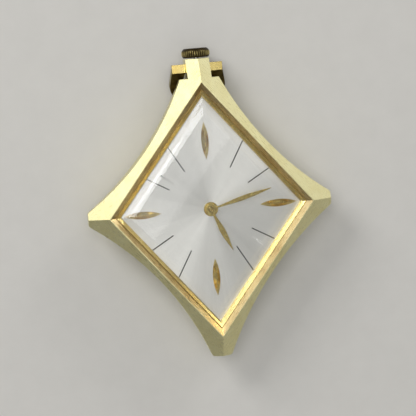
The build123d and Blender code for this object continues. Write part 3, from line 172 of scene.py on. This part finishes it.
def metal(name, light, dark, rough=(0.18, 0.34), turned=False, bump=6e-7, patch=900.0):
    """A metal with fine grain and broad patches; turned gives it rings about the middle."""
    n = Nodes(name)
    if turned:
        _, _, away = from_axis(n)
        z = n.split(n.place)[2]
        lines = n.join(n.math("MULTIPLY", away, 26000.0), 0.0, n.math("MULTIPLY", z, 3000.0))
    else:
        lines = n.even(9000.0)
    fine = n.noise(lines, 1.0, 3.0, 0.6)
    broad = n.noise(n.even(patch), 1.0, 3.0, 0.55)
    n.link(n.blend(n.spread(broad, 0.35, 0.68, 0.0, 1.0), light, dark), n.shader.inputs["Base Color"])
    n.link(n.spread(fine, 0.3, 0.7, *rough), n.shader.inputs["Roughness"])
    n.set(Metallic=1.0)
    n.bump(fine, bump)
    return n.material


# ---------------------------------------------------------------- materials
def case_gold(name="case_gold", light=(0.87, 0.82, 0.47), dark=(0.81, 0.74, 0.39), rough=(0.24, 0.34)):
    """Pale gold plate with a fine satin grain along each side of the diamond and a few worn specks."""
    n = Nodes(name)
    lines = along_sides(n, 9000.0, 900.0)
    satin = n.noise(lines, 1.0, 3.0, 0.6)
    grain = n.noise(n.even(8000.0), 1.0, 3.0, 0.6)
    broad = n.noise(n.even(420.0), 1.0, 4.0, 0.6)
    specks = n.noise(n.even(3400.0), 1.0, 2.0, 0.5)
    plate = n.blend(n.spread(broad, 0.35, 0.7, 0.0, 1.0), light, dark)
    plate = n.blend(n.spread(specks, 0.70, 0.78, 0.0, 0.5), plate, (0.40, 0.31, 0.13))
    n.link(plate, n.shader.inputs["Base Color"])
    n.link(n.spread(satin, 0.25, 0.75, *rough), n.shader.inputs["Roughness"])
    n.set(Metallic=1.0)
    n.bump(grain, 2.5e-7)
    return n.material


def brass_tarnish_and_flute_shade():
    """Tarnished brass on the crown's ribs, with a near-black painted shade deep in its flutes."""
    n = Nodes("brass_tarnish_and_flute_shade")
    low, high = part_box("crown")
    middle_z, outside = (low.z + high.z) / 2, (high.z - low.z) / 2
    x, _, z = n.split(n.place)
    up = n.math("SUBTRACT", z, middle_z)
    out = n.math("SQRT", n.math("ADD", n.math("MULTIPLY", x, x), n.math("MULTIPLY", up, up)))
    out_of_flute_shade = n.spread(out, outside - 0.10 * MM, outside - 0.015 * MM, 0.0, 1.0)
    fine = n.noise(n.even(7000.0), 1.0, 4.0, 0.65)
    broad = n.noise(n.even(1500.0), 1.0, 3.0, 0.55)
    tarnish = n.blend(n.spread(broad, 0.38, 0.64, 0.0, 1.0), (0.46, 0.38, 0.15), (0.27, 0.21, 0.08))
    # near black in the flutes: painted shade; the tarnish colour on the ribs
    n.link(n.blend(out_of_flute_shade, (0.045, 0.032, 0.014), tarnish), n.shader.inputs["Base Color"])
    n.link(n.spread(fine, 0.3, 0.7, 0.28, 0.5), n.shader.inputs["Roughness"])
    n.set(Metallic=1.0)
    n.bump(fine, 2e-6, 0.6)
    return n.material


def silver_dial():
    """Silvered dial, brushed in rays from the centre and lacquered, with a painted sheen of broad lighter and
    darker sectors round the centre.
    """
    n = Nodes("silver_dial")
    dx, dy, away = from_axis(n)
    ray_x, ray_y = n.math("DIVIDE", dx, away), n.math("DIVIDE", dy, away)
    rays = n.join(n.math("MULTIPLY", ray_x, 48.0), n.math("MULTIPLY", ray_y, 48.0), 0.0)
    fine = n.noise(rays, 1.0, 4.0, 0.7)
    # broad lighter and darker sectors by direction from the centre: painted sheen of the sunburst brushing
    wide = n.join(n.math("MULTIPLY", ray_x, 2.2), n.math("MULTIPLY", ray_y, 2.2), 0.0)
    sheen_sectors = n.noise(wide, 1.0, 1.0, 0.4)
    silver = n.blend(n.spread(sheen_sectors, 0.3, 0.7, 0.0, 1.0), (0.80, 0.785, 0.755), (0.93, 0.915, 0.885))
    silver = n.blend(n.spread(fine, 0.3, 0.75, 0.0, 0.35), silver, (0.68, 0.67, 0.64))
    n.link(silver, n.shader.inputs["Base Color"])
    n.link(n.spread(fine, 0.3, 0.7, 0.34, 0.46), n.shader.inputs["Roughness"])
    n.set(Metallic=0.72, Anisotropic=0.7, Coat_Weight=0.25, Coat_Roughness=0.08)
    tangent = n.node("ShaderNodeTangent", direction_type="RADIAL", axis="Z")
    n.link(tangent.outputs[0], n.shader.inputs["Tangent"])
    n.bump(fine, 5e-7, 0.5)
    return n.material


def hand_gold():
    """Polished yellow gold with faint lengthwise marks."""
    return metal("hand_gold", (0.86, 0.70, 0.27), (0.66, 0.48, 0.16), (0.10, 0.22), False, 5e-7, patch=2200.0)


def printed_ink():
    """Black dial printing, a little uneven."""
    n = Nodes("printed_ink")
    grain = n.noise(n.even(16000.0), 1.0, 3.0, 0.6)
    n.link(n.blend(n.spread(grain, 0.35, 0.7, 0.0, 1.0), (0.012, 0.011, 0.010), (0.05, 0.046, 0.04)),
           n.shader.inputs["Base Color"])
    n.link(n.spread(grain, 0.3, 0.7, 0.35, 0.6), n.shader.inputs["Roughness"])
    n.bump(grain, 1e-6, 0.5)
    return n.material


def crystal_clear():
    """Moulded clear acrylic: see-through, with a mirror film that grows towards grazing and fine scratches."""
    n = Nodes("crystal_clear")
    lines = along_sides(n, 7000.0, 420.0)
    scratches = n.noise(lines, 1.0, 4.0, 0.7)
    streaks = n.spread(scratches, 0.36, 0.62, 0.0, 1.0)
    n.link(n.blend(streaks, (0.55, 0.56, 0.57), (0.97, 0.98, 0.98)), n.shader.inputs["Base Color"])
    n.link(n.spread(scratches, 0.45, 0.75, 0.02, 0.16), n.shader.inputs["Roughness"])
    n.set(Metallic=1.0)
    n.bump(scratches, 1.2e-6, 0.5)
    film = n.node("ShaderNodeLayerWeight")
    film.inputs["Blend"].default_value = 0.5
    grazing = n.math("POWER", film.outputs["Facing"], 5.0)
    mirror = n.math("ADD", n.math("MULTIPLY", grazing, 0.90), 0.055)
    path = n.node("ShaderNodeLightPath")
    seen = n.math("SUBTRACT", 1.0, path.outputs["Is Shadow Ray"])
    share = n.math("MULTIPLY", mirror, seen)
    clear = n.node("ShaderNodeBsdfTransparent")
    clear.inputs[0].default_value = (0.985, 0.99, 0.988, 1.0)
    mix = n.node("ShaderNodeMixShader")
    n.link(share, mix.inputs[0])
    n.link(clear.outputs[0], mix.inputs[1])
    n.link(n.shader.outputs[0], mix.inputs[2])
    n.link(mix.outputs[0], n.output.inputs["Surface"])
    return n.material


def ruby():
    """Synthetic ruby, polished."""
    n = Nodes("ruby")
    cloud = n.noise(n.even(2500.0), 1.0, 2.0, 0.5)
    n.link(n.blend(cloud, (0.62, 0.02, 0.09), (0.36, 0.005, 0.04)), n.shader.inputs["Base Color"])
    n.link(n.spread(cloud, 0.3, 0.7, 0.05, 0.12), n.shader.inputs["Roughness"])
    n.set(Coat_Weight=0.6, Coat_Roughness=0.04, IOR=1.76)
    return n.material


def striped_plate(name, turn):
    """Nickel-plated bridge with broad polished stripes at turn degrees."""
    n = Nodes(name)
    x, y, _ = n.split(n.place)
    a = math.radians(turn)
    across = n.math("ADD", n.math("MULTIPLY", x, math.cos(a)), n.math("MULTIPLY", y, math.sin(a)))
    wave = n.math("SINE", n.math("MULTIPLY", across, math.tau / (1.1 * MM)))
    fine = n.noise(n.even(14000.0), 1.0, 3.0, 0.6)
    stripes = n.spread(wave, -1.0, 1.0, 0.0, 1.0)
    n.link(n.blend(stripes, (0.74, 0.71, 0.64), (0.58, 0.56, 0.52)), n.shader.inputs["Base Color"])
    n.link(n.spread(fine, 0.3, 0.7, 0.2, 0.36), n.shader.inputs["Roughness"])
    n.set(Metallic=1.0)
    height = n.math("ADD", wave, n.math("MULTIPLY", fine, 0.25))
    n.bump(height, 2.5e-6, 0.6)
    return n.material


def floor_cloth():
    """A plain pale table top."""
    n = Nodes("floor")
    grain = n.noise(n.even(300.0), 1.0, 3.0, 0.6)
    n.link(n.blend(grain, (0.80, 0.79, 0.76), (0.74, 0.73, 0.70)), n.shader.inputs["Base Color"])
    n.set(Roughness=0.85)
    return n.material


GOLD = case_gold()
# a darker, redder copy of the case gold for the bezel's inner wall: painted shade in the recess above the dial
BEZEL_WALL_SHADE = case_gold("bezel_wall_painted_shade", (0.74, 0.60, 0.32), (0.58, 0.44, 0.22), (0.22, 0.36))
STRIP = case_gold("inner_frame_gold", (0.93, 0.76, 0.34), (0.86, 0.66, 0.27), (0.14, 0.26))
# three copies of one bow metal, chosen by face direction in bow_finish: a bright lit copy for the stub tops, an
# olive lit copy for the legs' outer sides, and a near-black copy of painted shade with tarnish for the rest
BOW_LIT_TOP = case_gold("bow_painted_lit_top", (0.93, 0.76, 0.30), (0.84, 0.64, 0.22), (0.10, 0.20))
BOW_SHADE_AND_TARNISH = metal("bow_painted_shade_and_tarnish", (0.15, 0.11, 0.04), (0.06, 0.04, 0.015), (0.3, 0.5), False, 2e-6, patch=1100.0)
BOW_LIT_SIDE = metal("bow_painted_lit_side", (0.36, 0.31, 0.12), (0.22, 0.18, 0.07), (0.28, 0.5), False, 2e-6, patch=1100.0)
HUB = metal("hub_dark", (0.50, 0.40, 0.18), (0.30, 0.22, 0.09), (0.2, 0.36), False, 6e-7, patch=3000.0)
BRASS_TARNISH_AND_SHADE = brass_tarnish_and_flute_shade()
DIAL = silver_dial()
HAND = hand_gold()
INK = printed_ink()
CRYSTAL = crystal_clear()
RUBY = ruby()
RING = metal("movement_ring", (0.80, 0.62, 0.30), (0.66, 0.48, 0.20), (0.22, 0.4), True)
PLATE = metal("plate_grained", (0.72, 0.69, 0.62), (0.60, 0.57, 0.50), (0.26, 0.42), False, 1.5e-6)
BRIDGE = striped_plate("bridge_striped", 35.0)
WHEEL = metal("wheel_gilt", (0.83, 0.62, 0.27), (0.70, 0.49, 0.19), (0.16, 0.3), False, 6e-7, patch=1600.0)
STEEL = metal("steel_polished", (0.60, 0.61, 0.63), (0.47, 0.48, 0.50), (0.12, 0.28), False, 6e-7, patch=1600.0)
BLUED = metal("steel_blued", (0.05, 0.09, 0.26), (0.03, 0.05, 0.16), (0.14, 0.26), False, 5e-7, patch=2000.0)
BACK = metal("back_gold", (0.84, 0.77, 0.45), (0.76, 0.66, 0.35), (0.22, 0.36), True, 6e-7, patch=350.0)

FINISH = {
    "case_gold": GOLD,
    "crown_brass": BRASS_TARNISH_AND_SHADE,
    "crystal_glass": CRYSTAL,
    "dial_silver": DIAL,
    "hand_gold": HAND,
    "movement_brass": RING,
    "plate_nickel": PLATE,
    "ruby": RUBY,
    "wheel_brass": WHEEL,
    "steel": STEEL,
}
OWN = {
    "case_back": BACK,
    "inner_frame": STRIP,
    "bow": BOW_SHADE_AND_TARNISH,
    "cannon_pinion": HUB,
    "centre_pinion": HAND,
    "barrel_bridge": BRIDGE,
    "train_bridge": BRIDGE,
    "balance_cock": BRIDGE,
    "pallet_bridge": BRIDGE,
    "bridge_screws": BLUED,
    "ratchet_screw": BLUED,
    "crown_wheel_screw": BLUED,
    "hairspring": BLUED,
}


def finish_of(node):
    return OWN.get(node, FINISH[SLOT[node]])


def dress(obj, material):
    obj.data.materials.clear()
    obj.data.materials.append(material)


# ---------------------------------------------------------------- pieces
def refined(node, edge, corner, segments=2, others=(), which=None):
    """The node's own shape with its sharp edges softly broken, in its place."""
    mesh = frame["nodes"][node].data.copy()
    mesh.name = node + "_fine"
    work = bmesh.new()
    work.from_mesh(mesh)
    bmesh.ops.remove_doubles(work, verts=work.verts, dist=SAME_PLACE)
    for face in work.faces:
        face.smooth = True
    for line in work.edges:
        if len(line.link_faces) == 2:
            line.smooth = line.calc_face_angle(0.0) < math.radians(corner)
        else:
            line.smooth = False
    work.to_mesh(mesh)
    work.free()
    piece = bpy.data.objects.new(node + "_fine", mesh)
    bpy.context.scene.collection.objects.link(piece)
    bevel = piece.modifiers.new("edges", "BEVEL")
    bevel.width = edge
    bevel.segments = segments
    bevel.limit_method = "ANGLE"
    bevel.angle_limit = math.radians(corner)
    bevel.use_clamp_overlap = True
    bevel.harden_normals = True
    dress(piece, finish_of(node))
    for other in others:
        mesh.materials.append(other)
    if which is not None:
        for face in mesh.polygons:
            face.material_index = which(face.center, face.normal)
    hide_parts(node)
    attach(piece, BODY[node])
    return piece


LINE_WIDTH = 0.15 * MM
LINE_THICK = 0.012 * MM
LINE_START = 6.15 * MM  # from the middle of the dial
LINE_GAP_X = 0.75 * MM  # from the lines' ends to the frame's outer corners, across and up
LINE_GAP_Y = 0.95 * MM


def hour_lines():
    """The eight printed hour lines between the four applied markers."""
    dial_low, dial_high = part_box("dial")
    frame_low, frame_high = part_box("inner_frame")
    half_w = (frame_high.x - frame_low.x) / 2 - LINE_GAP_X
    half_h = (frame_high.y - frame_low.y) / 2 - LINE_GAP_Y
    work = bmesh.new()
    for hour in (1, 2, 4, 5, 7, 8, 10, 11):
        a = math.radians(90 - 30 * hour)
        along = Vector((math.cos(a), math.sin(a), 0))
        side = Vector((-along.y, along.x, 0)) * LINE_WIDTH / 2
        end = 1.0 / (abs(along.x) / half_w + abs(along.y) / half_h)
        z = dial_high.z
        ring = []
        for level in (z, z + LINE_THICK):
            ring.append(
                [
                    work.verts.new(along * d + side * s + Vector((0, 0, level)))
                    for d, s in ((LINE_START, 1), (LINE_START, -1), (end, -1), (end, 1))
                ]
            )
        low, high = ring
        work.faces.new(high[::-1])
        work.faces.new(low)
        for i in range(4):
            j = (i + 1) % 4
            work.faces.new((low[i], high[i], high[j], low[j]))
    bmesh.ops.recalc_face_normals(work, faces=work.faces)
    mesh = bpy.data.meshes.new("hour_lines")
    work.to_mesh(mesh)
    work.free()
    lines = bpy.data.objects.new("hour_lines", mesh)
    bpy.context.scene.collection.objects.link(lines)
    dress(lines, INK)
    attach(lines, BODY["dial"])
    return lines


for name, obj in frame["nodes"].items():
    dress(obj, finish_of(name))


def case_finish(middle, normal):
    """0 outside, 1 for the wall inside the ridge, which leans or stands towards the middle; that wall takes a
    darker copy of the case gold, painted shade in the recess.
    """
    inward = -(middle.x * normal.x + middle.y * normal.y)
    return int(inward > 0.1 * math.hypot(middle.x, middle.y) and middle.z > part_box("dial")[0].z)


def bow_finish(middle, normal):
    """Painted light and shade by face direction: 1, the bright lit copy, for the square ends each side of the
    neck that face up or sideways; 2, the olive lit copy, for the outer sides of the legs; 0, the near-black
    copy of painted shade with tarnish, for the rest.
    """
    stub = BOW_STUB_LOW < middle.y and normal.z > 0.5 and abs(normal.y) < 0.3
    if stub or (abs(normal.x) > 0.5 and middle.y > BOW_STUB_LOW and middle.z > NECK_MIDDLE_Z):
        return 1
    return 2 if normal.x * middle.x > 0.5 * abs(middle.x) else 0


BOW_STUB_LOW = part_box("bow")[1].y - 1.0 * MM
NECK_MIDDLE_Z = (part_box("crown")[0].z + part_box("crown")[1].z) / 2
refined("case_body", 0.08 * MM, 14.0, others=[BEZEL_WALL_SHADE], which=case_finish)
refined("inner_frame", 0.03 * MM, 20.0)
refined("bow", 0.14 * MM, 30.0, segments=3, others=[BOW_LIT_TOP, BOW_LIT_SIDE], which=bow_finish)
refined("case_back", 0.05 * MM, 30.0)
refined("crystal", 0.08 * MM, 20.0, segments=3)
refined("cannon_pinion", 0.04 * MM, 40.0)
refined("hour_hand", 0.02 * MM, 30.0)
refined("minute_hand", 0.02 * MM, 30.0)
for marker in ("marker_12", "marker_3", "marker_6", "marker_9"):
    refined(marker, 0.015 * MM, 12.0)
hour_lines()


# ---------------------------------------------------------------- stage, camera and lights
def placed(obj, spot, target, up=Vector((0, 0, 1))):
    """Put obj at spot, looking at target."""
    back = (spot - target).normalized()
    right = up.cross(back).normalized()
    turn = Matrix((right, back.cross(right), back)).transposed().to_4x4()
    obj.matrix_world = Matrix.Translation(spot) @ turn


floor_mesh = bpy.data.meshes.new("floor")
reach = 0.6
floor_mesh.from_pydata(
    [(-reach, -reach, 0), (reach, -reach, 0), (reach, reach, 0), (-reach, reach, 0)], [], [(0, 1, 2, 3)]
)
floor = bpy.data.objects.new("floor", floor_mesh)
floor.location.z = cad_low.z
bpy.context.scene.collection.objects.link(floor)
dress(floor, floor_cloth())

lean = math.radians(4.93)  # the watch leans to the left in the picture
ridge_drop = 0.5 * MM  # from the crystal's top down to the ridge
off_right, off_up = -0.587 * MM, 0.267 * MM  # from the ridge's middle to the picture's
image_up = Vector((math.sin(lean), math.cos(lean), 0))
image_right = Vector((math.cos(lean), -math.sin(lean), 0))
ridge = Vector((0, 0, cad_high.z - ridge_drop))
aim = ridge + image_right * off_right + image_up * off_up
away = Vector((-0.118, 0.084, 1.0)).normalized()
distance = 0.30
view_width = 55.4667 * MM
camera_data = bpy.data.cameras.new("camera")
camera = bpy.data.objects.new("camera", camera_data)
bpy.context.scene.collection.objects.link(camera)
camera_data.sensor_width = 36.0
camera_data.lens = 36.0 * distance / view_width
camera_data.clip_start = 0.01
camera_data.clip_end = 5.0
placed(camera, aim + away * distance, aim, image_up)
bpy.context.scene.camera = camera


LAMP_TARGET = Vector((0, 0, 5 * MM))


def softbox(name, spot, size, power, colour):
    data = bpy.data.lights.new(name, "AREA")
    data.shape = "RECTANGLE"
    data.size, data.size_y = size
    data.energy = power
    data.color = colour
    lamp = bpy.data.objects.new(name, data)
    bpy.context.scene.collection.objects.link(lamp)
    placed(lamp, Vector(spot), LAMP_TARGET)


# a bright window at the upper left, a smaller one at the right, wide dim panels low down, a soft top light
softbox("key", (-0.38, 0.42, 0.34), (0.26, 0.24), 1.45, (1.0, 0.985, 0.96))
softbox("panel_left", (-0.46, 0.40, 0.10), (0.8, 0.22), 0.36, (1.0, 0.99, 0.97))
softbox("panel_right", (0.44, 0.44, 0.10), (0.7, 0.2), 0.28, (1.0, 0.99, 0.97))
softbox("window_right", (0.36, 0.42, 0.22), (0.22, 0.12), 0.5, (1.0, 0.99, 0.97))
softbox("above", (-0.14, 0.12, 0.8), (0.5, 0.5), 1.6, (1.0, 0.99, 0.975))
world = bpy.data.worlds.new("studio")
world.use_nodes = True
world.node_tree.nodes["Background"].inputs[0].default_value = (0.84, 0.84, 0.83, 1.0)
world.node_tree.nodes["Background"].inputs[1].default_value = 0.30
bpy.context.scene.world = world
bpy.context.scene.view_settings.view_transform = "Standard"
